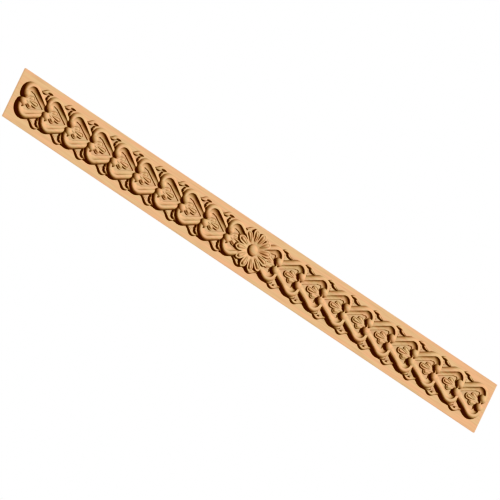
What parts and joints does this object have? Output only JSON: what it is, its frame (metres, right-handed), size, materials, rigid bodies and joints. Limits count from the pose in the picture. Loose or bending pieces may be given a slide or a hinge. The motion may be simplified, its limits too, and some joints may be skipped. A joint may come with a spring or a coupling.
{
  "type": "carved wooden moulding",
  "caption": "Straight flat-backed strip of carved wood moulding: runs of overlapping hearts with palmettes and leaves that mirror each other about a central flower, on a plain ground.",
  "frame": {"origin": "middle of the flat back face, where the moulding is fixed to a wall, door or piece of furniture", "axes": "+X along the length, +Y out of the flat back into what it is fixed to, so the carving faces -Y, +Z across the width, up as it stands on its long edge"},
  "size_m": [1, 0.0163, 0.0856],
  "materials": {
    "wood": "raw pale carved wood, fine grain along the length, darker in the hollows"
  },
  "bodies": {
    "root": {"carved_moulding": "wood"}
  },
  "joints": []
}
